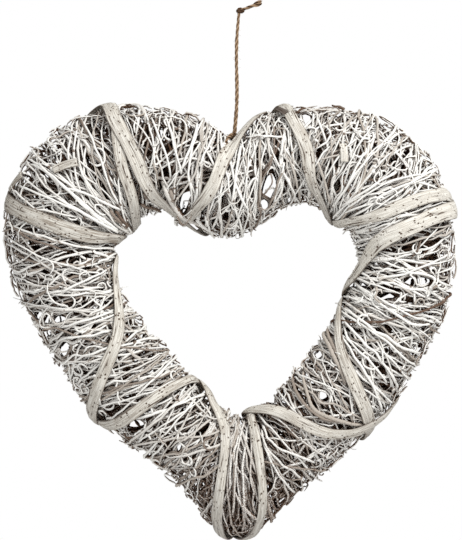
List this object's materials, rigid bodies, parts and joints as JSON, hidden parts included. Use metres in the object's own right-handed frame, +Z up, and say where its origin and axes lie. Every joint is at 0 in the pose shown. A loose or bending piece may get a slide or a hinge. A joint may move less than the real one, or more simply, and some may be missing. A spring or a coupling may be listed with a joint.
{
  "type": "twig heart wreath ornament",
  "caption": "Open heart wound from thin whitewashed twigs, wrapped with single vines and broad flat bark strips, hanging on a knotted jute cord.",
  "frame": {"origin": "the knot at the top of the hanging cord, where it is hooked up", "axes": "+Z up along the taut cord, +X to the right as seen from the front, and the front faces -Y"},
  "size_m": [0.3489, 0.0845, 0.4145],
  "materials": {
    "whitewashed_twig": "thin dry vine under chalky white paint, with brown gaps",
    "whitewashed_vine": "matt chalky white paint on bark",
    "whitewashed_bark": "matt off-white, with lengthwise grain and dark pits",
    "jute": "natural brown two-strand jute, slightly hairy"
  },
  "bodies": {
    "root": {"twig_body": "whitewashed_twig", "vine_wrap_01": "whitewashed_vine", "vine_wrap_02": "whitewashed_vine", "vine_wrap_03": "whitewashed_vine", "vine_wrap_04": "whitewashed_vine", "vine_wrap_05": "whitewashed_vine", "vine_wrap_06": "whitewashed_vine", "vine_wrap_07": "whitewashed_vine", "vine_wrap_08": "whitewashed_vine", "vine_wrap_09": "whitewashed_vine", "vine_wrap_10": "whitewashed_vine", "vine_wrap_11": "whitewashed_vine", "vine_wrap_12": "whitewashed_vine", "vine_wrap_13": "whitewashed_vine", "vine_wrap_14": "whitewashed_vine", "vine_wrap_15": "whitewashed_vine", "vine_wrap_16": "whitewashed_vine", "vine_wrap_17": "whitewashed_vine", "vine_wrap_18": "whitewashed_vine", "bark_strip_01": "whitewashed_bark", "bark_strip_02": "whitewashed_bark", "bark_strip_03": "whitewashed_bark", "bark_strip_04": "whitewashed_bark", "bark_strip_05": "whitewashed_bark", "bark_strip_06": "whitewashed_bark", "bark_strip_07": "whitewashed_bark", "bark_strip_08": "whitewashed_bark", "bark_strip_09": "whitewashed_bark", "bark_strip_10": "whitewashed_bark", "bark_strip_11": "whitewashed_bark", "bark_strip_12": "whitewashed_bark", "bark_strip_13": "whitewashed_bark", "bark_scrap": "whitewashed_bark", "jute_hitch": "jute", "jute_cord": "jute", "jute_knot": "jute", "jute_tail_1": "jute", "jute_tail_2": "jute"}
  },
  "joints": []
}
